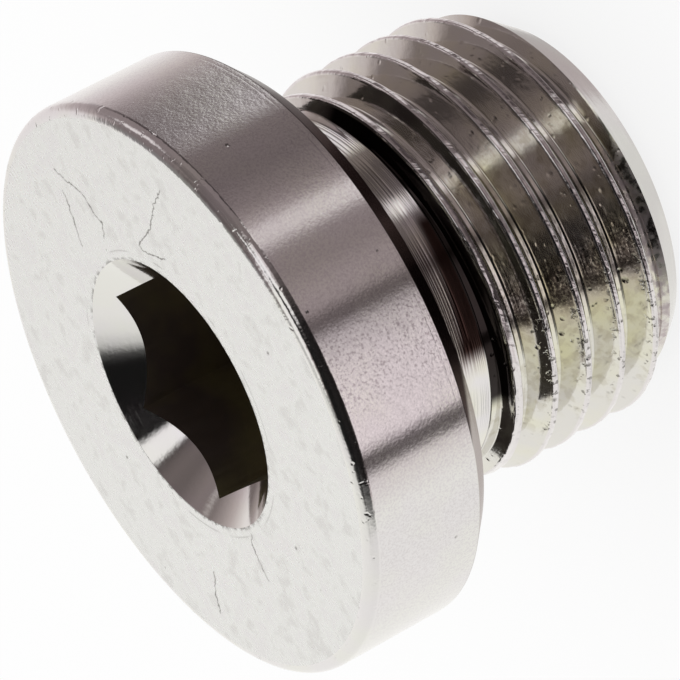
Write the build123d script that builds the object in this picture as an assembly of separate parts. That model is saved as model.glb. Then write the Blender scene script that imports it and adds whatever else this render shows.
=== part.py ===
"""Hex socket screw plug with a collar, M16 x 1.5, turned from one bar of steel.

The plug stands on its threaded end: +Z runs from that end to the socket face,
and the origin is the centre of the end face. All sizes are in millimetres.
"""
import os
from math import ceil, radians, sqrt, tan

from build123d import *

# Collar
collar_diameter = 22.0
collar_thickness = 5.5        # sealing face to socket face
face_edge_radius = 0.45       # rounded rim of the socket face
seal_edge_chamfer = 0.8       # 45 degree chamfer on the sealing side

# Shank
shank_length = 11.5           # sealing face to threaded end
relief_length = 2.7           # sealing face to the foot of the thread's shoulder
relief_below_root = 0.03      # radial step from the thread's root to the relief
relief_corner_radius = 0.4    # in the corner under the collar
end_below_root = 0.43         # radial step from the root to the edge of the end flat
end_chamfer_length = 1.8

# Thread, right-hand, with the ISO metric profile
thread_diameter = 15.9        # over the crests, just under the nominal 16
thread_pitch = 1.5
first_crest_z = 0.7           # height of the lowest crest on the -Y side
flank_angle = 30.0            # each flank, from square to the axis

# Hex socket
socket_across_flats = 8.0
socket_depth = 7.5            # socket face to the end of the flats
socket_mouth_diameter = 10.4  # countersink at the socket face
countersink_angle = 90.0      # full angle
drill_tip_angle = 118.0       # full angle of the tip below the flats

# The ISO profile gives the thread's form from its pitch
thread_depth = thread_pitch * sqrt(3) / 2 * 17 / 24
crest_flat = thread_pitch / 8

socket_face_z = shank_length + collar_thickness
shoulder_z = shank_length - relief_length
crest_r = thread_diameter / 2
root_r = crest_r - thread_depth
relief_r = root_r - relief_below_root
end_r = root_r - end_below_root


def corner(sketch, x, y):
    """The vertex of a sketch nearest to a point of its own plane."""
    return sketch.vertices().sort_by_distance((x, y))[0]


def turned_blank():
    """The outside of the plug before threading: one profile turned about the axis."""
    collar_r = collar_diameter / 2
    shoulder_height = (crest_r - relief_r) * tan(radians(flank_angle))
    with BuildPart() as blank:
        with BuildSketch(Plane.XZ) as profile:
            with BuildLine():
                Polyline(
                    (0, 0),
                    (end_r, 0),
                    (crest_r, end_chamfer_length),
                    (crest_r, shoulder_z - shoulder_height),
                    (relief_r, shoulder_z),
                    (relief_r, shank_length),
                    (collar_r, shank_length),
                    (collar_r, socket_face_z),
                    (0, socket_face_z),
                    close=True,
                )
            make_face()
            chamfer(corner(profile, collar_r, shank_length), seal_edge_chamfer)
            fillet(corner(profile, collar_r, socket_face_z), face_edge_radius)
            fillet(corner(profile, relief_r, shank_length), relief_corner_radius)
        revolve(axis=Axis.Z)
    return blank.part


def groove_turns():
    """The thread's groove as solid tools, one a turn, from below the end to the relief."""
    overcut = crest_flat / 2
    outer_r = crest_r + overcut
    crest_half = (thread_pitch - crest_flat) / 2
    outer_half = crest_half + overcut * tan(radians(flank_angle))
    root_half = crest_half - thread_depth * tan(radians(flank_angle))
    # The lowest groove on the +X side, a quarter turn on from the -Y side
    groove_z = first_crest_z + thread_pitch * 3 / 4
    start_z = groove_z - thread_pitch * ceil((groove_z + outer_half) / thread_pitch)
    end_z = shoulder_z + outer_half
    turns = []
    for i in range(ceil((end_z - start_z) / thread_pitch)):
        z = start_z + i * thread_pitch
        helix = Helix(
            pitch=thread_pitch,
            height=min(thread_pitch, end_z - z),
            radius=crest_r,
            center=(0, 0, z),
        )
        with BuildSketch(Plane.XZ) as section:
            with BuildLine():
                Polyline(
                    (root_r, z - root_half),
                    (outer_r, z - outer_half),
                    (outer_r, z + outer_half),
                    (root_r, z + root_half),
                    close=True,
                )
            make_face()
        turns.append(sweep(section.sketch, path=helix, is_frenet=True))
    return turns


def hex_socket():
    """The socket as a solid tool: flats, the drilled tip below and the countersink."""
    flats_floor_z = socket_face_z - socket_depth
    drill_r = socket_across_flats / 2
    tip_height = drill_r / tan(radians(drill_tip_angle / 2))
    mouth_r = socket_mouth_diameter / 2
    cone_height = mouth_r / tan(radians(countersink_angle / 2))
    point_down = (Align.CENTER, Align.CENTER, Align.MAX)
    with BuildPart() as socket:
        with BuildSketch(Plane.XY.offset(flats_floor_z)):
            RegularPolygon(radius=drill_r, side_count=6, major_radius=False, rotation=30)
        extrude(amount=socket_depth)
        with Locations((0, 0, flats_floor_z)):
            Cone(0.0, drill_r, tip_height, align=point_down)
        with Locations((0, 0, socket_face_z)):
            Cone(0.0, mouth_r, cone_height, align=point_down)
    return socket.part


def plug_body():
    """The finished plug."""
    plug = turned_blank() - hex_socket()
    for turn in groove_turns():
        plug -= turn
    plug.label = "plug_body"
    return plug


os.makedirs("parts", exist_ok=True)
export_step(plug_body(), "parts/plug_body.step")
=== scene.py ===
from math import cos, hypot, pi, radians, sin, sqrt, tan

import bmesh
import bpy
import numpy as np
from mathutils import Matrix, Vector, noise


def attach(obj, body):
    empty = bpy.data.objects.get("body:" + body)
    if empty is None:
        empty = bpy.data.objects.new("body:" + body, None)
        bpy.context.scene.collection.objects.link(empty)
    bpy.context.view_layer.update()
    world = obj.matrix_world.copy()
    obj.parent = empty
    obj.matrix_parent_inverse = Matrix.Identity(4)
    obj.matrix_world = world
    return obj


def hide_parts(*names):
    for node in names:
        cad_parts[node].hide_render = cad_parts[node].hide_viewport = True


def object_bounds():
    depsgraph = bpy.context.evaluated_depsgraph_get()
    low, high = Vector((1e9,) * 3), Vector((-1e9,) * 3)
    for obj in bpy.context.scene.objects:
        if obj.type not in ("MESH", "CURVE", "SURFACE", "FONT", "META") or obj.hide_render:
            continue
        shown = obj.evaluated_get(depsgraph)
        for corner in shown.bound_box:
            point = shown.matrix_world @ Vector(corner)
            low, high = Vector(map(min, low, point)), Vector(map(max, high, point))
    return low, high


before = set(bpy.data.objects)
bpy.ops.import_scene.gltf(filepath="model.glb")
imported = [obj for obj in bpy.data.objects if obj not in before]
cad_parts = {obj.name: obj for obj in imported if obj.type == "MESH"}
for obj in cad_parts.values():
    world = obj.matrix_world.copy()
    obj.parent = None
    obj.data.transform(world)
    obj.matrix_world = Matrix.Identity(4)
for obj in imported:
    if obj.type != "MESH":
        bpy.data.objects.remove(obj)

cad_low, cad_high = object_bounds()
MM = 0.001

# ---------------------------------------------------------------- sizes of the plug, in mm
collar_r = cad_high.x / MM
socket_face_z = cad_high.z / MM
shank_length = 11.5
collar_rim_radius = 0.45
seal_edge_chamfer = 0.8
edge_break = 0.05             # small rounds that blunt the turned edges
relief_r = 7.0
relief_corner_radius = 0.4
relief_foot_z = 8.74          # where the relief ends in a steep shoulder
shoulder_z = 8.66             # upper end of the threaded part
shoulder_foot_radius = 0.25
shoulder_width = 0.9          # roughly how far the shoulder stands out from the relief
shoulder_fall = 0.03          # how much lower than its foot it lies at that width
shoulder_middle = 0.55        # where the row along its middle runs, out from the relief
last_crest_drop = 0.35        # how much lower the crest next to the relief stands
crest_drop_z = (7.0, 7.9)     # heights between which the crests fall off by that much
run_out_width = 0.36          # how much wider the last groove is cut on its lower side
run_out_z = (7.85, 8.15)      # heights between which it widens by that much
end_r = 6.6
end_chamfer_length = 1.8
crest_r = 7.95
thread_pitch = 1.5
flank_angle = radians(30)
# An ISO thread: 17/24 of its sharp triangle deep, with crests an eighth of the pitch wide
thread_depth = thread_pitch * sqrt(3) / 2 * 17 / 24
root_r = crest_r - thread_depth
root_half = thread_pitch / 2 - thread_pitch / 16 - thread_depth * tan(flank_angle)
root_rounding = 0.10          # radius in the two corners of the groove's bottom
first_crest_z = 0.7           # height of the lowest crest on the -Y side
soft_edge = 0.07              # how far the thread's edges are blunted
nick_depth = 0.02             # deepest of the small nicks along the crests
nick_reach = 0.05             # how far below the crests there are nicks
nicks_per_mm = 2.3
socket_across_flats = 8.0
socket_mouth_r = 5.2
flats_floor_z = socket_face_z - 7.5
drill_tip_angle = radians(118)

# ---------------------------------------------------------------- the turned and threaded mesh
COLUMNS = 288                 # a multiple of 12, so that the socket's corners lie on columns
SUPPORT = 0.02                # a row this close to a round keeps the run beyond it truly flat
ROUND_STEPS = 8               # steps round each corner of the turned profile
FOOT_STEPS = 6                # steps round the shoulder's foot
SOCKET_STEPS = 6              # steps down the countersink, and again down the flats
SHARP_EDGE = radians(27)      # edges that turn by more than this are shaded sharp
SAME_POINT = 1e-7             # points nearer to each other than this, in metres, are merged
angle = np.arange(COLUMNS) * 2 * pi / COLUMNS


def ring(radius, height):
    """One row of points round the axis: a radius and a height for each column."""
    return np.broadcast_to(radius, COLUMNS) * 1.0, np.broadcast_to(height, COLUMNS) * 1.0


def run(start, stop, steps):
    """Points along a straight run of the profile, both ends included."""
    start, stop = np.array(start), np.array(stop)
    return [start + (stop - start) * t for t in np.linspace(0, 1, steps + 1)]


def supported_run(start, stop, steps):
    """A straight run with one more point close to each end."""
    start, stop = np.array(start), np.array(stop)
    short = (stop - start) / np.hypot(*(stop - start)) * SUPPORT
    return [start] + run(start + short, stop - short, steps) + [stop]


def rounded(before, corner, after, radius, steps):
    """Points of the arc that rounds a corner of the profile."""
    before, corner, after = (np.array(p, float) for p in (before, corner, after))
    back = (before - corner) / np.hypot(*(before - corner))
    ahead = (after - corner) / np.hypot(*(after - corner))
    half = np.arccos(back @ ahead) / 2
    centre = corner + (back + ahead) / np.hypot(*(back + ahead)) * radius / sin(half)
    first = corner + back * radius / tan(half) - centre
    last = corner + ahead * radius / tan(half) - centre
    sweep = pi - 2 * half
    shares = np.linspace(0, 1, steps + 1)
    return [centre + (first * sin((1 - t) * sweep) + last * sin(t * sweep)) / sin(sweep)
            for t in shares]


def turned_rows(corners, zones, steps):
    """Rows along a profile of (radius, height, rounding) corners, with the zone of each row.

    Each straight run has its zone and its number of steps; the collar's rim is a zone of its own.
    """
    points = [c[:2] for c in corners]
    arcs = [[points[0]]]
    for i in range(1, len(corners) - 1):
        arcs.append(rounded(points[i - 1], points[i], points[i + 1], corners[i][2], ROUND_STEPS))
    arcs.append([points[-1]])
    rows, names = [], []
    for i, zone in enumerate(zones):
        straight = supported_run(arcs[i][-1], arcs[i + 1][0], steps[i])
        rows += straight[1:] + arcs[i + 1][1:]
        round_zone = "rim" if corners[i + 1][2] == collar_rim_radius else zone
        names += [zone] * (len(straight) - 1) + [round_zone] * (len(arcs[i + 1]) - 1)
    return [ring(*p) for p in rows], names


def soft_min(one, other, width):
    """The lower of two surfaces, blended where they come closer than a width."""
    near = np.maximum(width - np.abs(one - other), 0) / width
    return np.minimum(one, other) - near**2 * width / 4


def groove_z(turn_angle):
    """Height of the lowest thread groove at an angle about the axis."""
    return first_crest_z + thread_pitch / 2 + thread_pitch * (turn_angle + pi / 2) / (2 * pi)


def end_cone(height):
    """Radius of the chamfer at the shank's end."""
    return end_r + (crest_r - end_r) * height / end_chamfer_length


def smooth_step(value, start, stop):
    """0 below the start, 1 above the stop, smooth between them."""
    share = np.clip((value - start) / (stop - start), 0, 1)
    return share * share * (3 - 2 * share)


def crest_limit(height):
    """Radius of the crests: the one next to the relief stands lower."""
    return crest_r - last_crest_drop * smooth_step(height, *crest_drop_z)


def thread_radius(height, off_groove):
    """The shank's radius, from the height and the axial distance to the nearest groove."""
    run_out = run_out_width * smooth_step(height, *run_out_z)
    over_groove = off_groove % thread_pitch
    under_next = np.maximum(thread_pitch - over_groove - run_out, 0)
    off = np.minimum(over_groove, under_next)
    turn = pi / 2 - flank_angle
    flat_half = root_half - root_rounding * tan(turn / 2)
    over = np.clip(off - flat_half, 0, root_rounding * sin(turn))
    bottom = root_r + root_rounding - np.sqrt(root_rounding**2 - over**2)
    flank = root_r + (off - root_half) / tan(flank_angle)
    radius = np.where(off < flat_half + root_rounding * sin(turn), bottom, flank)
    radius = soft_min(radius, crest_limit(height), soft_edge)
    return soft_min(radius, end_cone(height), soft_edge)


def crest_nicks(radius, height):
    """The same radii with small nicks in the crests and their edges, where the noise peaks."""
    worn = radius.copy()
    for i, (r, z) in enumerate(zip(radius, height)):
        if r > crest_limit(z) - nick_reach and 0 < z < shoulder_z:
            spot = Vector((cos(angle[i]) * crest_r, sin(angle[i]) * crest_r, z)) * nicks_per_mm
            worn[i] = r - nick_depth * max(0, 2.2 * noise.noise(spot) - 0.15)
    return worn


# Where the thread's rows run, above and below a groove's middle: close together in the rounds of
# the groove's bottom, two on the flank, and close together again along the crest's edge.
GROOVE_ROWS = [0.055, 0.067, 0.085, 0.105, 0.125, 0.14, 0.154, 0.172, 0.46, 0.50,
               0.60, 0.616, 0.636, 0.656, 0.676, 0.696, 0.71]


def thread_rows():
    """Rows that climb with the thread, clamped to the shank's end and to the shoulder.

    The first turns start below the shank's end, so that the thread runs in over its chamfer.
    """
    offsets = [-x for x in reversed(GROOVE_ROWS)] + [0] + GROOVE_ROWS + [thread_pitch / 2]
    rows = []
    turn = -2
    while groove_z(0) + turn * thread_pitch < shoulder_z + thread_pitch:
        for off in offsets:
            height = np.clip(groove_z(angle) + turn * thread_pitch + off, 0, shoulder_z)
            true_off = (height - groove_z(angle) + thread_pitch / 2) % thread_pitch
            radius = thread_radius(height, true_off - thread_pitch / 2)
            rows.append((crest_nicks(radius, height), height))
        turn += 1
    return rows, len(offsets)


def shoulder_rows(top_radius):
    """Rows from the thread's upper edge inwards over the steep shoulder and round into the relief."""
    blunted = np.maximum(top_radius - edge_break, relief_r)
    outer = (relief_r + shoulder_width, relief_foot_z - shoulder_fall)
    slope = [(relief_r + shoulder_middle, shoulder_z + edge_break),
             (relief_r + shoulder_foot_radius + SUPPORT, relief_foot_z - SUPPORT)]
    foot = rounded(outer, (relief_r, relief_foot_z), (relief_r, shank_length),
                   shoulder_foot_radius, FOOT_STEPS)
    rows = [(blunted, np.full(COLUMNS, shoulder_z + edge_break / 2))]
    rows += [(np.minimum(radius, blunted), np.full(COLUMNS, height)) for radius, height in slope + foot]
    on_slope = 1 + len(slope)
    return rows, ["shoulder"] * on_slope + ["neck"] * (len(rows) - on_slope)


def hex_radius():
    """Distance from the axis to the socket's flats, for each column; two corners at +-Y."""
    from_flat = (angle + pi / 6) % (pi / 3) - pi / 6
    return socket_across_flats / 2 / np.cos(from_flat)


def socket_rows():
    """Rows down the countersink, then down the flats, the ledge below them and the drilled tip."""
    hexagon = hex_radius()
    mouth_r, mouth_z = socket_mouth_r - edge_break, socket_face_z - edge_break
    meet_z = socket_face_z - (socket_mouth_r - hexagon)
    shares = np.linspace(0, 1, SOCKET_STEPS + 1)[1:]
    sink = [(mouth_r + (hexagon - mouth_r) * t, mouth_z + (meet_z - mouth_z) * t) for t in shares]
    bore = [(hexagon, meet_z + (flats_floor_z - meet_z) * t) for t in shares]
    drill_r = socket_across_flats / 2
    tip_z = flats_floor_z - drill_r / tan(drill_tip_angle / 2)
    bore += [ring(*p) for p in run((drill_r, flats_floor_z), (0, tip_z), 4)]
    return sink, bore


def collar_corners():
    """Corners (radius, height, rounding) of the turned profile, from the relief to the mouth."""
    seal_r = collar_r - seal_edge_chamfer
    return [(relief_r, relief_foot_z + shoulder_foot_radius + SUPPORT, 0),
            (relief_r, shank_length, relief_corner_radius),
            (seal_r, shank_length, edge_break),
            (collar_r, shank_length + seal_edge_chamfer, edge_break),
            (collar_r, socket_face_z, collar_rim_radius),
            (socket_mouth_r, socket_face_z, edge_break),
            (socket_mouth_r - 2 * edge_break, socket_face_z - 2 * edge_break, 0)]


def zone_of(face, zone):
    """A thread face's own zone: the thread itself or the chamfer of the shank's end."""
    if zone != "thread":
        return zone
    centre = face.calc_center_median() / MM
    radius = hypot(centre.x, centre.y)
    return "end" if radius > end_cone(centre.z) - soft_edge / 2 else "thread"


def plug_rows():
    """All rows from the shank's end to the drilled tip, their zones, and the thread's part of them."""
    end = [ring(*p) for p in run((0, 0), (end_r - SUPPORT, 0), 4)]
    threads, rows_per_turn = thread_rows()
    shoulder, shoulder_zones = shoulder_rows(threads[-1][0])
    turned, turned_zones = turned_rows(
        collar_corners(), ["neck", "back", "chamfer", "side", "face", "sink"], [3, 3, 1, 4, 8, 1])
    sink, bore = socket_rows()
    rows = end + threads + shoulder + turned + sink + bore
    zones = ["end"] * len(end) + ["thread"] * len(threads) + shoulder_zones + turned_zones
    zones += ["sink"] * len(sink) + ["bore"] * len(bore)
    return rows, zones, range(len(end), len(end) + len(threads)), rows_per_turn


def skin_rows(bm, rows, zones, names, threaded, rows_per_turn):
    """Faces from row to row; where a turn of the thread closes, it joins the rows a pitch higher."""
    grid = []
    for radius, height in rows:
        x, y = radius * np.cos(angle) * MM, radius * np.sin(angle) * MM
        grid.append([bm.verts.new(p) for p in zip(x, y, height * MM)])
    for j in range(len(rows) - 1):
        climbs = j in threaded and j + 1 in threaded
        for i in range(COLUMNS):
            k, shift = (i + 1) % COLUMNS, 0
            if climbs and k == 0:
                shift = rows_per_turn
                if j + 1 + shift not in threaded:
                    continue
            quad = (grid[j][i], grid[j + shift][k], grid[j + 1 + shift][k], grid[j + 1][i])
            bm.faces.new(quad).material_index = names.index(zones[j + 1])


def clean_mesh(bm, names):
    """Merges coinciding points, turns the faces outwards, and marks their zones and sharp edges."""
    bmesh.ops.remove_doubles(bm, verts=bm.verts, dist=SAME_POINT)
    bmesh.ops.dissolve_degenerate(bm, edges=bm.edges, dist=SAME_POINT)
    bmesh.ops.recalc_face_normals(bm, faces=bm.faces)
    for face in bm.faces:
        face.smooth = True
        face.material_index = names.index(zone_of(face, names[face.material_index]))
    for edge in bm.edges:
        if len(edge.link_faces) == 2 and edge.calc_face_angle() > SHARP_EDGE:
            edge.smooth = False


def build_plug():
    """The whole plug as one closed mesh, its faces sorted into named zones."""
    rows, zones, threaded, rows_per_turn = plug_rows()
    names = sorted(set(zones))
    bm = bmesh.new()
    skin_rows(bm, rows, zones, names, threaded, rows_per_turn)
    clean_mesh(bm, names)
    open_edges = sum(len(edge.link_faces) != 2 for edge in bm.edges)
    print("plug mesh:", len(bm.faces), "faces,", open_edges, "open edges")
    mesh = bpy.data.meshes.new("screw_plug")
    bm.to_mesh(mesh)
    bm.free()
    plug = bpy.data.objects.new("screw_plug", mesh)
    bpy.context.scene.collection.objects.link(plug)
    return plug, names


plug, zone_names = build_plug()


# ---------------------------------------------------------------- helpers for shader nodes
def add(tree, kind, inputs=None, **settings):
    """A new node with its settings and inputs; an input is a value or another node's output."""
    node = tree.nodes.new(kind)
    for name, value in settings.items():
        setattr(node, name, value)
    for name, value in (inputs or {}).items():
        if isinstance(value, bpy.types.NodeSocket):
            tree.links.new(value, node.inputs[name])
        else:
            node.inputs[name].default_value = value
    return node


def calc(tree, operation, *values):
    """One Math node; returns its output."""
    return add(tree, "ShaderNodeMath", dict(enumerate(values)), operation=operation).outputs[0]


def both(tree, first, second):
    """The product of two values, such as two masks."""
    return calc(tree, "MULTIPLY", first, second)


def sunk(tree, marks):
    """Marks turned into hollows, for a bump layer."""
    return both(tree, marks, -1.0)


def fading(tree, distance, reach):
    """1 at no distance, falling evenly to 0 at the reach and below 0 beyond it."""
    return calc(tree, "SUBTRACT", 1.0, calc(tree, "DIVIDE", distance, reach))


def vector(tree, operation, *values):
    """One Vector Math node; returns the node."""
    return add(tree, "ShaderNodeVectorMath", dict(enumerate(values)), operation=operation)


def ramp(tree, factor, stops):
    """A colour ramp through (position, colour) stops; returns its colour output."""
    node = add(tree, "ShaderNodeValToRGB", {"Fac": factor})
    elements = node.color_ramp.elements
    while len(elements) < len(stops):
        elements.new(0.5)
    for element, (position, _) in zip(elements, stops):
        element.position = position
    for element, (_, tone) in zip(elements, stops):
        element.color = (*tone, 1)
    return node.outputs["Color"]


def between(tree, value, low, high):
    """0 where a value is below low and 1 where it is above high, smooth between them."""
    return add(tree, "ShaderNodeMapRange", {"Value": value, "From Min": low, "From Max": high},
               interpolation_type="SMOOTHSTEP").outputs[0]


MIX_COLOURS = (6, 7)          # the places of the Mix node's two colours among its inputs


def blend(tree, share, first, second):
    """A colour between two colours, each a value or another node's output."""
    inputs = {0: share}
    for place, colour in zip(MIX_COLOURS, (first, second)):
        inputs[place] = (*colour, 1) if isinstance(colour, tuple) else colour
    return add(tree, "ShaderNodeMix", inputs, data_type="RGBA").outputs[2]


def point_mm(tree):
    """The surface point in the plug's own frame, in mm."""
    place = add(tree, "ShaderNodeTexCoord").outputs["Object"]
    return add(tree, "ShaderNodeVectorMath", {0: place, "Scale": 1 / MM}, operation="SCALE").outputs[0]


def height_and_radius(tree, point):
    """The point's height and its distance from the axis."""
    flat = vector(tree, "MULTIPLY", point, (1, 1, 0)).outputs[0]
    height = add(tree, "ShaderNodeSeparateXYZ", {0: point}).outputs["Z"]
    return height, vector(tree, "LENGTH", flat).outputs["Value"]


def turn_degrees(tree, point):
    """The point's angle about the axis, in degrees from -Y towards -X."""
    mirrored = vector(tree, "MULTIPLY", point, (-1, -1, 1)).outputs[0]
    part = add(tree, "ShaderNodeSeparateXYZ", {0: mirrored})
    return calc(tree, "DEGREES", calc(tree, "ARCTAN2", part.outputs["X"], part.outputs["Y"]))


def within(tree, value, start, stop, fade):
    """1 between two values, fading to 0 outside them."""
    rise = between(tree, value, start - fade, start)
    fall = between(tree, calc(tree, "SUBTRACT", value, stop), fade, 0.0)
    return both(tree, rise, fall)


def cloud(tree, point, per_mm, detail=2.0):
    """Soft noise with some number of blobs per mm."""
    inputs = {"Vector": point, "Scale": per_mm, "Detail": detail}
    return add(tree, "ShaderNodeTexNoise", inputs).outputs[0]


def lines(tree, along, per_mm):
    """Parallel tool marks, uneven along a distance and the same all round it."""
    return add(tree, "ShaderNodeTexNoise", {"W": along, "Scale": per_mm, "Detail": 2.0},
               noise_dimensions="1D").outputs[0]


def pits(tree, point, per_mm, share, radius_mm):
    """Round pits up to a radius, 1 at their middle, in about a share of the pattern's cells."""
    cells = add(tree, "ShaderNodeTexVoronoi", {"Vector": point, "Scale": per_mm})
    luck = add(tree, "ShaderNodeSeparateColor", {0: cells.outputs["Color"]})
    hollow = fading(tree, cells.outputs["Distance"], both(tree, luck.outputs[1], radius_mm * per_mm))
    lucky = calc(tree, "LESS_THAN", luck.outputs[0], share)
    return both(tree, calc(tree, "MAXIMUM", hollow, 0.0), lucky)


def bumps(tree, layers):
    """One normal from layers of (relief, its depth in mm) laid over each other."""
    normal = None
    for relief, depth in layers:
        inputs = {"Height": relief, "Distance": depth * MM}
        if normal is not None:
            inputs["Normal"] = normal
        normal = add(tree, "ShaderNodeBump", inputs).outputs[0]
    return normal


def metal(name):
    """A bare metal; returns its material, node tree, shader and surface point."""
    material = bpy.data.materials.new(name)
    material.use_nodes = True
    tree = material.node_tree
    shader = tree.nodes["Principled BSDF"]
    shader.inputs["Metallic"].default_value = 1
    return material, tree, shader, point_mm(tree)


def finish(tree, shader, tone, roughness, layers):
    """Wires a colour, a roughness and bump layers into the shader."""
    tree.links.new(tone, shader.inputs["Base Color"])
    tree.links.new(roughness, shader.inputs["Roughness"])
    tree.links.new(bumps(tree, layers), shader.inputs["Normal"])


def rough_between(tree, value, smooth, rough):
    """A roughness that follows a 0 to 1 value."""
    return add(tree, "ShaderNodeMapRange", {"Value": value, "To Min": smooth, "To Max": rough}).outputs[0]


# ---------------------------------------------------------------- finishes of the plug's zones
CREAM = (0.79, 0.785, 0.755)          # zinc with a pale yellow cast
LAVENDER = (0.785, 0.765, 0.775)      # zinc with a pale violet cast
STRAW = (0.79, 0.775, 0.70)           # the yellower zinc of the relief
FLANK = (0.735, 0.72, 0.69)           # zinc on the thread's flanks
WEAK_OLIVE = (0.75, 0.735, 0.67)      # the flanks' passivation where it is thin
OLIVE = (0.75, 0.735, 0.60)           # the strongest yellow-green of the passivated flanks
CREST = (0.79, 0.76, 0.765)           # the thread's crests
SPECKLE = (0.71, 0.685, 0.695)        # fine speckle of the collar's side
PEELED = (0.50, 0.47, 0.48)           # bare grains where the side's plating peels
BLOTCH = (0.58, 0.55, 0.48)           # dull blotches on the flanks
SCUFF = (0.62, 0.55, 0.56)            # scuffed metal beside the shank's end
SPECKLE_AND_SHADE = (0.16, 0.135, 0.12)            # dark speckle on the flanks, partly marks and partly painted shade
PIT = (0.16, 0.15, 0.13)              # dirt in the bottom of a pit or scratch
FEED_MARK_SHADE = (0.24, 0.20, 0.18)         # painted shade in the relief's feed marks
RELIEF_SHADE = (0.06, 0.035, 0.03)             # painted shade in the relief above the shoulder
PAINTED_SHADE = (0.030, 0.025, 0.024)     # painted shade: near-black on the seat under the collar, its chamfer, the shoulder and the first flank
PAINTED_HALF_SHADE = (0.05, 0.045, 0.04)       # the same painted shade, less deep

# Stretches round the axis, in degrees from -Y towards -X: start, stop, and the fade beyond both
PEELED_STRIP = (3.0, 12.0, 8.0)       # of the collar's side
SHADED_RELIEF = (-12.0, 26.0, 6.0)     # where painted shade lies above the shoulder
SHADED_MARKS = (-4.0, 26.0, 10.0)      # where painted shade fills the relief's feed marks
DEEP_MARKS = (-32.0, 27.0, 8.0)       # where the feed marks are deepest
SHADED_FLANK = (-58.0, 45.0, 6.0)      # of the thread's painted shade, beside the shoulder
PASSIVATED = (-14.0, 60.0, 10.0)      # where the flanks' yellow-green cast is strongest
BLOTCHED = (-16.0, 62.0, 10.0)        # of the flanks
SPECKLED_AND_SHADED = (17.0, 24.0, 6.0)             # of the flanks, where dark speckle is laid on partly as painted shade
SCUFFED = (-2.0, 60.0, 8.0)           # of the thread, beside the end chamfer
WORN_SIDE = (26.0, 58.0, 12.0)        # where the thread is torn and pitted most

# Sizes of the marks and of the painted shade, in mm
FEED_MARK = 0.10                      # spacing of the lathe tool's marks in the relief
SHADE_HEIGHT = 0.45                     # how high the painted shade stands over the relief's foot on -Y
SHADE_RISE = 0.012                      # how much higher with each degree
SIDE_MARKS = 0.6                      # how far over the chamfer the side shows tool marks
SHADED_FLANK_Z = (8.02, 8.12)          # heights between which the first flank's painted shade starts
SCUFFED_Z = (1.75, 1.45)              # heights between which the scuffs come in, downwards
CHATTER_LEAN = 0.7                    # how far the crests' chatter marks lean per mm of height


def clouded_zinc(tree, point, per_mm, warm=CREAM):
    """Bright zinc in soft clouds of lavender and a warmer tone."""
    return ramp(tree, cloud(tree, point, per_mm), [(0.40, LAVENDER), (0.60, warm)])


def side_material():
    """Zinc on the collar's side: finely grained, in cream and lavender clouds, a little pitted."""
    material, tree, shader, point = metal("zinc_side")
    height, _ = height_and_radius(tree, point)
    grain = cloud(tree, point, 10.0, 3.0)
    waves = cloud(tree, point, 2.0)
    speckle = between(tree, cloud(tree, point, 12.0, 4.0), 0.60, 0.34)
    peel = both(tree, within(tree, turn_degrees(tree, point), *PEELED_STRIP),
                between(tree, cloud(tree, point, 9.0, 3.0), 0.50, 0.68))
    holes = pits(tree, point, 1.3, 0.10, 0.10)
    tone = blend(tree, speckle, clouded_zinc(tree, point, 0.4), SPECKLE)
    tone = blend(tree, peel, tone, PEELED)
    tone = blend(tree, holes, tone, PIT)
    side_start = shank_length + seal_edge_chamfer
    by_chamfer = between(tree, height, side_start + SIDE_MARKS, side_start)
    marks = both(tree, lines(tree, height, 9.0), by_chamfer)
    finish(tree, shader, tone, rough_between(tree, grain, 0.08, 0.16),
           [(waves, 0.0025), (grain, 0.0019), (marks, 0.003), (sunk(tree, holes), 0.02)])
    return material


def rim_material():
    """The collar's rounded rim: the side's zinc with dents from handling."""
    material, tree, shader, point = metal("zinc_rim")
    grain = cloud(tree, point, 8.0, 3.0)
    waves = cloud(tree, point, 2.4)
    dents = between(tree, waves, 0.60, 0.75)
    finish(tree, shader, clouded_zinc(tree, point, 0.4), rough_between(tree, grain, 0.08, 0.14),
           [(sunk(tree, dents), 0.02), (grain, 0.003), (waves, 0.014)])
    return material


CRACKS = [        # hairline marks on the collar's face: (x, y) points in mm
    [(8.97, 0.73), (8.46, 0.32), (7.78, -0.47), (7.02, -0.57), (6.54, -0.83), (6.04, -0.40)],
    [(8.15, 0.90), (7.37, 1.12), (6.32, 1.57), (6.09, 1.57)],
    [(6.61, -6.34), (6.31, -5.42), (5.64, -4.23), (5.29, -2.76), (5.04, -2.83), (4.43, -4.13)],
    [(-5.51, -0.02), (-5.82, 0.26), (-6.55, 0.39), (-7.25, 0.41)],
    [(-6.31, 4.35), (-6.77, 4.80), (-7.30, 5.25), (-7.80, 5.47)],
]
CRACK_HALF_WIDTH = 0.035
CRACK_JITTER = 0.14           # how far a crack strays from its straight segments
SPECKS = [(-1.34, 6.60), (-6.46, -2.92), (0.12, -8.15), (-10.02, -5.07)]
SPECK_RADIUS = 0.09
CHIP_REACH = 0.16             # how far the mouth's chips reach over the face
BURR_OFFSET = 0.33            # distance of the burr's line from the mouth
BURR_HALF_WIDTH = 0.05


def off_segment(tree, flat, start, stop):
    """Distance from a point on the face to a straight segment."""
    span = Vector((*stop, 0)) - Vector((*start, 0))
    reach = vector(tree, "SUBTRACT", flat, (*start, 0)).outputs[0]
    along = vector(tree, "DOT_PRODUCT", reach, tuple(span / span.length_squared)).outputs["Value"]
    share = add(tree, "ShaderNodeClamp", {"Value": along}).outputs[0]
    nearest = add(tree, "ShaderNodeVectorMath", {0: tuple(span), "Scale": share}, operation="SCALE")
    return vector(tree, "DISTANCE", reach, nearest.outputs[0]).outputs["Value"]


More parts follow.
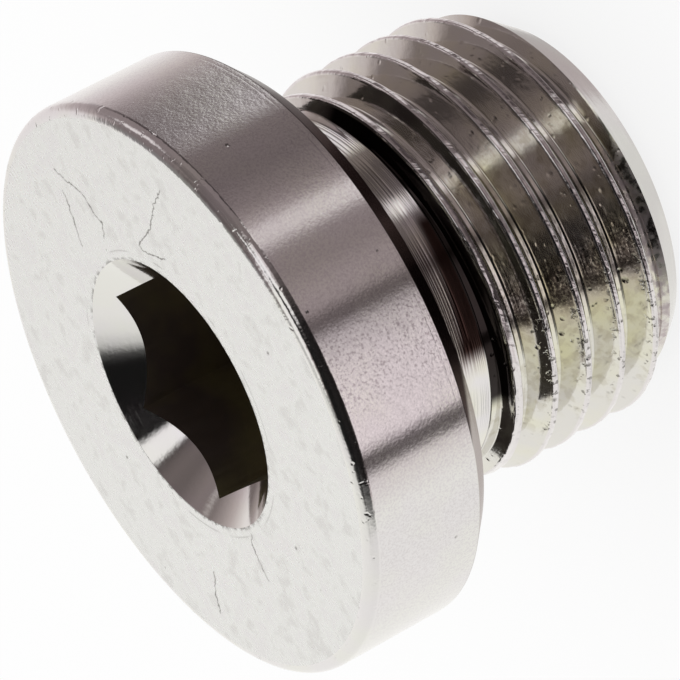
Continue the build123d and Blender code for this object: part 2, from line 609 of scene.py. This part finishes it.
def face_marks(tree, point):
    """1 along the hairline cracks and on the specks of the collar's face."""
    flat = vector(tree, "MULTIPLY", point, (1, 1, 0)).outputs[0]
    jitter = add(tree, "ShaderNodeTexNoise", {"Vector": flat, "Scale": 4.0}).outputs["Color"]
    jitter = vector(tree, "MULTIPLY_ADD", jitter, (2 * CRACK_JITTER, 2 * CRACK_JITTER, 0),
                    (-CRACK_JITTER, -CRACK_JITTER, 0)).outputs[0]
    ragged = vector(tree, "ADD", flat, jitter).outputs[0]
    nearest = 10.0
    for crack in CRACKS:
        for start, stop in zip(crack, crack[1:]):
            nearest = calc(tree, "MINIMUM", off_segment(tree, ragged, start, stop), nearest)
    width = both(tree, cloud(tree, flat, 1.5), 2 * CRACK_HALF_WIDTH)
    marks = calc(tree, "MAXIMUM", fading(tree, nearest, width), 0.0)
    for x, y in SPECKS:
        away = vector(tree, "DISTANCE", flat, (x, y, 0)).outputs["Value"]
        marks = calc(tree, "MAXIMUM", marks, fading(tree, away, SPECK_RADIUS))
    return marks


def mouth_chips(tree, point, radius):
    """1 where the edge of the socket's mouth is chipped."""
    by_mouth = between(tree, radius, socket_mouth_r + CHIP_REACH, socket_mouth_r)
    return both(tree, by_mouth, between(tree, cloud(tree, point, 4.5), 0.50, 0.62))


def mouth_burr(tree, point, radius):
    """1 along the broken line that a burr has left round the mouth."""
    off_line = calc(tree, "SUBTRACT", radius, socket_mouth_r + BURR_OFFSET)
    on_line = between(tree, calc(tree, "ABSOLUTE", off_line), BURR_HALF_WIDTH, 0.0)
    return both(tree, on_line, between(tree, cloud(tree, point, 0.35), 0.50, 0.58))


def face_material():
    """The collar's flat face: satin zinc, faintly mottled, with cracks, specks and a worn mouth."""
    material, tree, shader, point = metal("zinc_face")
    shader.inputs["Metallic"].default_value = 0.6
    _, radius = height_and_radius(tree, point)
    mottle = cloud(tree, point, 1.5, 5.0)
    grain = cloud(tree, point, 4.0, 2.0)
    tone = ramp(tree, mottle, [(0.34, (0.70, 0.69, 0.675)), (0.48, (0.785, 0.785, 0.765)),
                               (0.64, (0.76, 0.745, 0.74))])
    dirt = face_marks(tree, point)
    for marks, share in ((mouth_chips(tree, point, radius), 0.6),
                         (mouth_burr(tree, point, radius), 0.3),
                         (pits(tree, point, 1.6, 0.12, 0.06), 0.5)):
        dirt = calc(tree, "MAXIMUM", dirt, both(tree, marks, share))
    finish(tree, shader, blend(tree, dirt, tone, PIT), rough_between(tree, grain, 0.22, 0.34),
           [(mottle, 0.008), (grain, 0.0015), (sunk(tree, dirt), 0.02)])
    return material


def back_material():
    """The collar's seat: turned in rings, painted near-black as the shade under the collar."""
    material, tree, shader, point = metal("zinc_seat")
    # painted shade: near-black clouds and a dimmed sheen stand in for the shade under the collar
    shader.inputs["Specular Tint"].default_value = (0.35, 0.35, 0.35, 1)
    _, radius = height_and_radius(tree, point)
    rings = lines(tree, radius, 7.0)
    tone = ramp(tree, cloud(tree, point, 0.6), [(0.35, PAINTED_SHADE), (0.65, PAINTED_HALF_SHADE)])
    finish(tree, shader, tone, rough_between(tree, rings, 0.28, 0.42), [(rings, 0.004)])
    return material


def shaded_edge_material(name, start, stop, lean=0, stop_height=0):
    """A turned edge with near-black painted shade, from a start to a stop in degrees round the axis.

    It reaches the stop at the stop height, and lean degrees further for each mm above that.
    """
    material, tree, shader, point = metal(name)
    # a dimmed sheen, part of the painted shade
    shader.inputs["Specular Tint"].default_value = (0.55, 0.5, 0.5, 1)
    height, _ = height_and_radius(tree, point)
    turn = turn_degrees(tree, point)
    leaning = calc(tree, "SUBTRACT", turn, both(tree, height, lean))
    far = stop - lean * stop_height
    # painted shade: near-black over a stretch round the axis, cream zinc beyond it
    shade_share = both(tree, between(tree, turn, start - 8, start), between(tree, leaning, far + 6, far))
    rings = lines(tree, height, 9.0)
    tone = blend(tree, shade_share, CREAM, PAINTED_SHADE)
    finish(tree, shader, tone, rough_between(tree, rings, 0.12, 0.22), [(rings, 0.002)])
    return material


def chamfer_material():
    """The chamfer behind the collar's side, with painted shade over part of its round."""
    return shaded_edge_material("zinc_chamfer", -80, 28, lean=16, stop_height=shank_length + seal_edge_chamfer)


def shoulder_material():
    """The steep shoulder between the relief and the thread, with painted shade over part of its round."""
    return shaded_edge_material("zinc_shoulder", -58, 27)


def neck_material():
    """The turned relief: fine feed marks, deepest where painted shade lies above the shoulder."""
    material, tree, shader, point = metal("zinc_neck")
    height, _ = height_and_radius(tree, point)
    turn = turn_degrees(tree, point)
    wander = calc(tree, "MULTIPLY_ADD", lines(tree, height, 1.5), 0.25, height)
    turning = calc(tree, "SINE", both(tree, wander, 2 * pi / FEED_MARK))
    uneven = lines(tree, height, 6.0)
    # painted shade: dark in the relief above the shoulder and in its feed marks, over one stretch round
    # the axis
    shade_edge = calc(tree, "MULTIPLY_ADD", turn, SHADE_RISE, relief_foot_z + SHADE_HEIGHT)
    low = between(tree, calc(tree, "SUBTRACT", height, shade_edge), 0.30, -0.10)
    shade_mask = both(tree, low, within(tree, turn, *SHADED_RELIEF))
    mark_shade = both(tree, within(tree, turn, *SHADED_MARKS), between(tree, turning, 1.6, -1.2))
    tone = blend(tree, mark_shade, clouded_zinc(tree, point, 0.5, STRAW), FEED_MARK_SHADE)
    tone = blend(tree, shade_mask, tone, RELIEF_SHADE)
    marks = calc(tree, "MULTIPLY_ADD", within(tree, turn, *DEEP_MARKS), 0.7, 0.3)
    finish(tree, shader, tone, rough_between(tree, uneven, 0.08, 0.16),
           [(both(tree, turning, marks), 0.0017), (uneven, 0.0010)])
    return material


def crest_depth(tree, height, radius):
    """Depth below the thread's crests, of which the last stands lower."""
    dropped = between(tree, height, *crest_drop_z)
    limit = calc(tree, "MULTIPLY_ADD", dropped, -last_crest_drop, crest_r)
    return calc(tree, "SUBTRACT", limit, radius)


def flank_tone(tree, point, turn, depth):
    """The flanks' colour: a yellow-green cast in patches, dull blotches, and dark speckle that is partly
    painted shade.
    """
    patches = cloud(tree, point, 0.55, 3.0)
    cast = calc(tree, "MULTIPLY_ADD", within(tree, turn, *PASSIVATED), 0.25, 0.80)
    tone = ramp(tree, both(tree, patches, cast), [(0.36, FLANK), (0.50, WEAK_OLIVE), (0.66, OLIVE)])
    blotches = both(tree, between(tree, cloud(tree, point, 2.2, 4.0), 0.50, 0.62),
                    within(tree, turn, *BLOTCHED))
    tone = blend(tree, both(tree, blotches, 0.55), tone, BLOTCH)
    # dark speckle on one stretch of the flanks, partly marks and partly painted shade darkening them there
    speckle_and_shade = both(tree, between(tree, cloud(tree, point, 9.0), 0.36, 0.54), within(tree, turn, *SPECKLED_AND_SHADED))
    speckle_and_shade = both(tree, speckle_and_shade, within(tree, depth, 0.14, 0.78, 0.06))
    return blend(tree, both(tree, speckle_and_shade, 0.75), tone, SPECKLE_AND_SHADE)


def torn_edges(tree, point, radius, worn):
    """1 in the tears just below the crests, on the thread's worn side."""
    by_crest = between(tree, radius, crest_r - 0.40, crest_r - 0.12)
    return both(tree, both(tree, by_crest, worn), between(tree, cloud(tree, point, 4.0), 0.58, 0.66))


def first_flank_shade(tree, height, depth, turn):
    """1 where painted shade covers the flank next to the shoulder."""
    first_flank = both(tree, between(tree, height, *SHADED_FLANK_Z), between(tree, depth, 0.08, 0.14))
    return both(tree, first_flank, within(tree, turn, *SHADED_FLANK))


def scuffed_end(tree, point, height, turn):
    """1 where the thread is scuffed beside the end chamfer."""
    low = both(tree, between(tree, height, *SCUFFED_Z), within(tree, turn, *SCUFFED))
    return both(tree, low, between(tree, cloud(tree, point, 3.0), 0.28, 0.66))


def thread_material():
    """Cut thread: yellow-green cast on the flanks, lavender crests, pits, tears along the edges, and
    painted shade on the first flank.
    """
    material, tree, shader, point = metal("zinc_thread")
    height, radius = height_and_radius(tree, point)
    turn = turn_degrees(tree, point)
    depth = crest_depth(tree, height, radius)
    crest = between(tree, depth, 0.10, 0.03)
    grain = cloud(tree, point, 6.0, 3.0)
    waves = cloud(tree, point, 1.4)
    cut = lines(tree, radius, 11.0)
    arc = calc(tree, "MULTIPLY_ADD", turn, crest_r * pi / 180, both(tree, height, CHATTER_LEAN))
    chatter = both(tree, lines(tree, arc, 3.2), crest)
    worn = within(tree, turn, *WORN_SIDE)
    tears = torn_edges(tree, point, radius, worn)
    holes = both(tree, pits(tree, point, 2.4, 0.5, 0.15), calc(tree, "MULTIPLY_ADD", worn, 0.75, 0.25))
    scuffs = scuffed_end(tree, point, height, turn)
    tone = blend(tree, crest, flank_tone(tree, point, turn, depth), CREST)
    tone = blend(tree, both(tree, tears, 0.7), tone, PIT)
    tone = blend(tree, both(tree, holes, 0.9), tone, PIT)
    # painted shade on the first flank beside the shoulder
    tone = blend(tree, first_flank_shade(tree, height, depth, turn), tone, PAINTED_SHADE)
    tone = blend(tree, scuffs, tone, SCUFF)
    roughness = calc(tree, "ADD", rough_between(tree, grain, 0.06, 0.13), both(tree, crest, 0.06))
    roughness = calc(tree, "MULTIPLY_ADD", scuffs, 0.42, roughness)
    finish(tree, shader, tone, roughness,
           [(waves, 0.006), (cut, 0.0006), (grain, 0.0012), (chatter, 0.016),
            (sunk(tree, tears), 0.012), (sunk(tree, holes), 0.03)])
    return material


def end_material():
    """The shank's end and its chamfer: satin zinc with turning rings."""
    material, tree, shader, point = metal("zinc_end")
    _, radius = height_and_radius(tree, point)
    rings = lines(tree, radius, 5.0)
    grain = cloud(tree, point, 6.0, 3.0)
    tone = ramp(tree, cloud(tree, point, 0.5), [(0.35, (0.66, 0.635, 0.635)), (0.65, (0.70, 0.69, 0.67))])
    finish(tree, shader, tone, rough_between(tree, grain, 0.14, 0.22), [(rings, 0.005), (grain, 0.003)])
    return material


def sink_material():
    """The countersink: smooth zinc with a faint chatter of the tool."""
    material, tree, shader, point = metal("zinc_countersink")
    height, _ = height_and_radius(tree, point)
    turning = lines(tree, height, 7.0)
    grain = cloud(tree, point, 5.0)
    finish(tree, shader, clouded_zinc(tree, point, 0.5), rough_between(tree, grain, 0.05, 0.11),
           [(turning, 0.0008), (grain, 0.0015)])
    return material


def bore_material():
    """The flats of the socket: painted near-black as the shade inside the socket, brown-green in patches,
    broached lengthways.
    """
    material, tree, shader, point = metal("dark_socket")
    streaks = cloud(tree, vector(tree, "MULTIPLY", point, (1, 1, 0.08)).outputs[0], 6.0)
    # painted shade: the socket's flats are coloured near-black
    tone = ramp(tree, cloud(tree, point, 0.4), [(0.40, (0.22, 0.175, 0.16)), (0.65, (0.33, 0.29, 0.17))])
    finish(tree, shader, tone, rough_between(tree, streaks, 0.30, 0.45), [(streaks, 0.004)])
    return material


FINISHES = {"side": side_material, "rim": rim_material, "face": face_material,
            "back": back_material, "chamfer": chamfer_material, "shoulder": shoulder_material,
            "neck": neck_material, "thread": thread_material, "end": end_material,
            "sink": sink_material, "bore": bore_material}
for zone in zone_names:
    plug.data.materials.append(FINISHES[zone]())

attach(plug, "root")
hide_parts("plug_body")


# ---------------------------------------------------------------- floor, world and light
FLOOR_GAP = 0.02              # the floor lies this far under the plug, in mm
FLOOR_GLOW = 0.8              # share of pure white in what is seen of the floor; the rest is lit


def make_floor():
    """A pale floor that stays white where nothing shades it and keeps the plug's shadow."""
    bpy.ops.mesh.primitive_plane_add(size=2.0, location=(0, 0, -FLOOR_GAP * MM))
    floor = bpy.context.object
    floor.name = "floor"
    material = bpy.data.materials.new("pale_floor")
    material.use_nodes = True
    tree = material.node_tree
    tree.nodes.clear()
    path = add(tree, "ShaderNodeLightPath")
    seen = calc(tree, "MAXIMUM", path.outputs["Is Camera Ray"], path.outputs["Is Glossy Ray"])
    white = add(tree, "ShaderNodeEmission", {"Color": (1, 1, 1, 1), "Strength": 1.0})
    cloth = add(tree, "ShaderNodeBsdfDiffuse", {"Color": (0.95, 0.95, 0.95, 1)})
    shown = add(tree, "ShaderNodeMixShader",
                {0: both(tree, seen, FLOOR_GLOW), 1: cloth.outputs[0], 2: white.outputs[0]})
    add(tree, "ShaderNodeOutputMaterial", {"Surface": shown.outputs[0]})
    floor.data.materials.append(material)
    floor.visible_glossy = False


CAMERA_SIDE = radians(2)      # the camera stands this far round from -Y towards +X
# What the metal mirrors, as rings of tones round the plug: the heights (sines of elevation)
# between which a ring is pure, then (degrees from the camera towards -X, tone) panels.
# White cards stand behind and to the left, darker ones with gaps between them near the camera.
RINGS = [
    (-1.0, -0.968, [(-180, 0.86), (180, 0.86)]),
    (-0.958, -0.932, [(-180, 0.9), (-174, 1.0), (-140, 1.0), (-120, 0.86), (150, 0.86), (180, 0.9)]),
    (-0.915, -0.62, [(-180, 0.8), (-174, 0.55), (-144, 0.55), (-136, 0.8), (-120, 0.5), (-90, 0.1),
                     (48, 0.05), (68, 0.9), (180, 0.95)]),
    (-0.57, -0.470, [(-180, 1.0), (-150, 0.97), (-138, 0.85), (-128, 0.42), (-122, 0.85), (-88, 0.85),
                     (-82, 0.09), (-60, 0.05), (-45, 0.06), (-40, 1.0), (-34, 1.0), (-30, 0.18),
                     (-10, 0.22), (0, 0.12), (12, 0.10), (20, 0.02), (48, 0.02), (54, 0.13), (61, 0.8),
                     (68, 1.0), (84, 0.95), (94, 0.65), (104, 0.6), (114, 0.8), (134, 0.95), (180, 1.0)]),
    (-0.460, -0.444, [(-180, 1.0), (-156, 0.94), (-142, 0.65), (-132, 0.5), (-126, 1.0), (-88, 1.0),
                      (-80, 0.24), (-62, 0.19), (-50, 0.27), (-43, 0.42), (-39, 0.72), (-34, 0.70),
                      (-30, 0.3), (-20, 0.29), (-10, 0.40), (-4, 0.36), (0, 0.10), (3, 0.13), (8, 0.62),
                      (20, 0.90), (32, 1.0), (49, 1.0), (53, 0.03), (58.5, 0.03), (62, 0.8),
                      (78, 0.97), (180, 1.0)]),
    (-0.436, -0.385, [(-180, 1.0), (-156, 0.94), (-136, 0.65), (-122, 0.32), (-110, 0.19), (-94, 0.17),
                      (-84, 0.21), (-62, 0.19), (-50, 0.27), (-43, 0.42), (-39, 0.72), (-34, 0.70),
                      (-30, 0.3), (-20, 0.29), (-10, 0.40), (-4, 0.40), (0, 0.14), (3, 0.15), (8, 0.66),
                      (20, 0.95), (32, 1.0), (49, 1.0), (53.5, 0.10), (57.5, 0.10), (61.5, 0.8),
                      (78, 0.97), (180, 1.0)]),
    (-0.35, -0.24, [(-180, 1.0), (-150, 0.9), (-138, 0.75), (-124, 0.22), (-110, 0.09), (-60, 0.06),
                    (-44, 0.07), (-40, 0.8), (-34, 0.8), (-30, 0.12), (0, 0.03), (56, 0.04), (64, 0.6),
                    (75, 0.95), (180, 1.0)]),
    (-0.20, 0.25, [(-180, 0.95), (-150, 0.88), (-138, 0.55), (-120, 0.3), (-105, 0.28), (-90, 0.25),
                   (-76, 0.26), (-30, 0.2), (-15, 0.07), (0, 0.01), (58, 0.01), (70, 0.2),
                   (80, 0.85), (105, 0.92), (180, 1.0)]),
    (0.38, 0.50, [(-180, 0.95), (-150, 0.87), (-137, 0.5), (-119, 0.2), (-114, 0.85), (-97, 0.85),
                  (-90, 0.24), (-75, 0.19), (-42, 0.18), (-36, 0.8), (-26, 0.8), (-15, 0.15),
                  (-5, 0.01), (58, 0.01), (72, 0.2), (82, 0.8), (105, 0.93), (180, 1.0)]),
    (0.58, 0.78, [(-180, 0.98), (-174, 0.25), (-135, 0.22), (-105, 0.24), (-90, 0.15), (-60, 0.18),
                  (-42, 0.15), (-37, 1.0), (-8, 1.0), (-2, 0.1), (2, 0.005), (62, 0.005),
                  (76, 0.07), (86, 0.62), (96, 0.84), (110, 0.93), (174, 0.98), (180, 0.98)]),
    (0.85, 0.925, [(-180, 0.5), (-165, 0.15), (-120, 0.12), (-80, 0.19), (-62, 0.08), (-57, 1.0),
                   (-36, 1.0), (-28, 0.005), (70, 0.005), (78, 0.07), (87, 0.6), (97, 0.82),
                   (160, 0.9), (180, 0.5)]),
    (0.955, 0.97, [(-180, 0.55), (-150, 0.26), (-120, 0.14), (-90, 0.2), (-62, 0.5), (-50, 1.0),
                   (0, 0.95), (15, 0.5), (30, 0.25), (60, 0.1), (90, 0.25), (120, 0.38),
                   (150, 0.6), (180, 0.55)]),
    (0.985, 1.0, [(-180, 1.0), (180, 1.0)]),
]


def card_tone(degree, light):
    """A card's colour: ivory to the left and behind, elsewhere the redder the darker it is.

    A bright card just left of the camera is pink.
    """
    if degree > 66 or degree < -165:
        return light, light * 0.99, light * 0.96
    if 6 < degree < 50 and light > 0.5:
        return light, light * 0.90, light * 0.91
    return light, light * (0.82 + 0.16 * light**2), light * (0.815 + 0.155 * light**2)


def ringed_studio(tree, direction):
    """The tone of the mirrored studio in each direction, blended from ring to ring."""
    part = add(tree, "ShaderNodeSeparateXYZ", {0: direction})
    left = both(tree, part.outputs["X"], -1.0)
    front = both(tree, part.outputs["Y"], -1.0)
    azimuth = calc(tree, "ADD", calc(tree, "ARCTAN2", left, front), CAMERA_SIDE)
    azimuth = calc(tree, "MULTIPLY_ADD", azimuth, 1 / (2 * pi), 0.5)
    tone, below = None, None
    for bottom, top, panels in RINGS:
        stops = [((degree + 180) / 360, card_tone(degree, light)) for degree, light in panels]
        ring_tone = ramp(tree, azimuth, stops)
        if tone is not None:
            rise = add(tree, "ShaderNodeMapRange",
                       {"Value": part.outputs["Z"], "From Min": below, "From Max": bottom})
            ring_tone = blend(tree, rise.outputs[0], tone, ring_tone)
        tone, below = ring_tone, top
    return tone


def make_world():
    """White all round for the camera; the metal mirrors a white sweep and a darker camera side."""
    world = bpy.data.worlds.new("studio")
    world.use_nodes = True
    bpy.context.scene.world = world
    tree = world.node_tree
    tree.nodes.clear()
    direction = add(tree, "ShaderNodeTexCoord").outputs["Generated"]
    mirrored = ringed_studio(tree, direction)
    path = add(tree, "ShaderNodeLightPath")
    soft = add(tree, "ShaderNodeBackground", {"Color": (1, 1, 1, 1), "Strength": 1.0})
    studio = add(tree, "ShaderNodeBackground", {"Color": mirrored, "Strength": 1.0})
    shown = add(tree, "ShaderNodeMixShader",
                {0: path.outputs["Is Glossy Ray"], 1: soft.outputs[0], 2: studio.outputs[0]})
    add(tree, "ShaderNodeOutputWorld", {"Surface": shown.outputs[0]})


def make_camera():
    """The camera of the reference view: a long lens, rolled well over to one side."""
    place = Vector((6.674, -191.110, 101.687)) * MM
    aim = Vector((-0.960, -0.038, 10.522)) * MM
    roll = radians(118.02)
    upright = (aim - place).to_track_quat("-Z", "Y").to_matrix().to_4x4()
    turned = upright @ Matrix.Rotation(-roll, 4, "Z")
    camera = bpy.data.objects.new("camera", bpy.data.cameras.new("camera"))
    bpy.context.scene.collection.objects.link(camera)
    camera.location = place
    camera.rotation_euler = turned.to_euler()
    camera.data.lens = 317.65
    camera.data.sensor_width = 36
    camera.data.clip_start = 0.01
    bpy.context.scene.camera = camera


make_floor()
make_world()
make_camera()
bpy.context.scene.view_settings.view_transform = "Standard"
